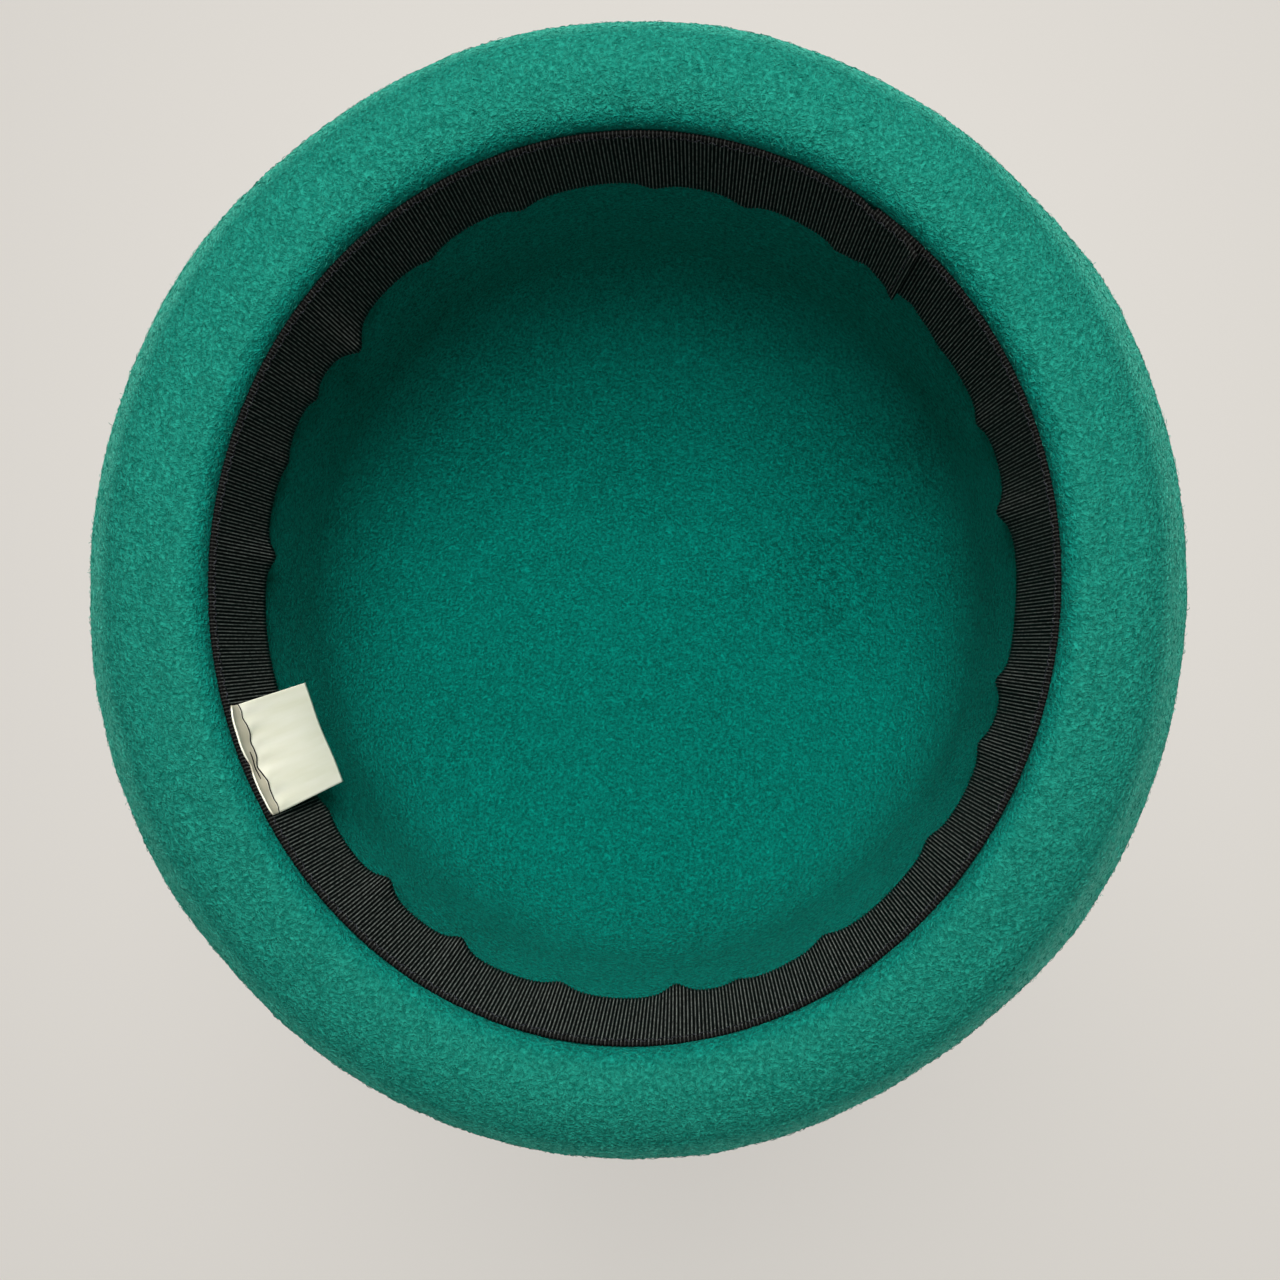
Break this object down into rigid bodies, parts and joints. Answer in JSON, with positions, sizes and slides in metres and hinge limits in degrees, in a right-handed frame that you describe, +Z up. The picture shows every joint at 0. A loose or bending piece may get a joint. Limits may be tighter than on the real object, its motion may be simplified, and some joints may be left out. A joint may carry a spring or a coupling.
{
  "type": "felt hat",
  "caption": "Round wool-felt hat with a domed crown and a short rolled brim, a black ribbon sweatband sewn inside and a small blank care label that folds at its seam.",
  "frame": {"origin": "centre of the brim's outline, on the surface that the lowest ring of the brim rests on", "axes": "+Z up through the crown, front faces -Y, the long way of the head along Y, side to side along X"},
  "size_m": [0.2322, 0.2392, 0.118],
  "materials": {
    "wool_felt": "teal-green wool felt, short soft nap",
    "grosgrain": "black ribbed ribbon, dull sheen",
    "black_thread": "black sewing thread",
    "satin_tape": "off-white satin label tape"
  },
  "bodies": {
    "hat": {"felt_body": "wool_felt", "sweatband": "grosgrain", "sweatband_stitches": "black_thread", "lap_stitches": "black_thread", "label_hem": "satin_tape", "label_stitches": "black_thread"},
    "label": {"label_flap": "satin_tape"}
  },
  "joints": [
    {"name": "label_fold", "type": "hinge", "parent": "hat", "child": "label", "pos_m": [0.07613, -0.03779, 0.0101], "axis": [-0.396, -0.9183, 0], "range_deg": [0, 120], "stiffness_Nm_per_rad": 0.0005}
  ]
}
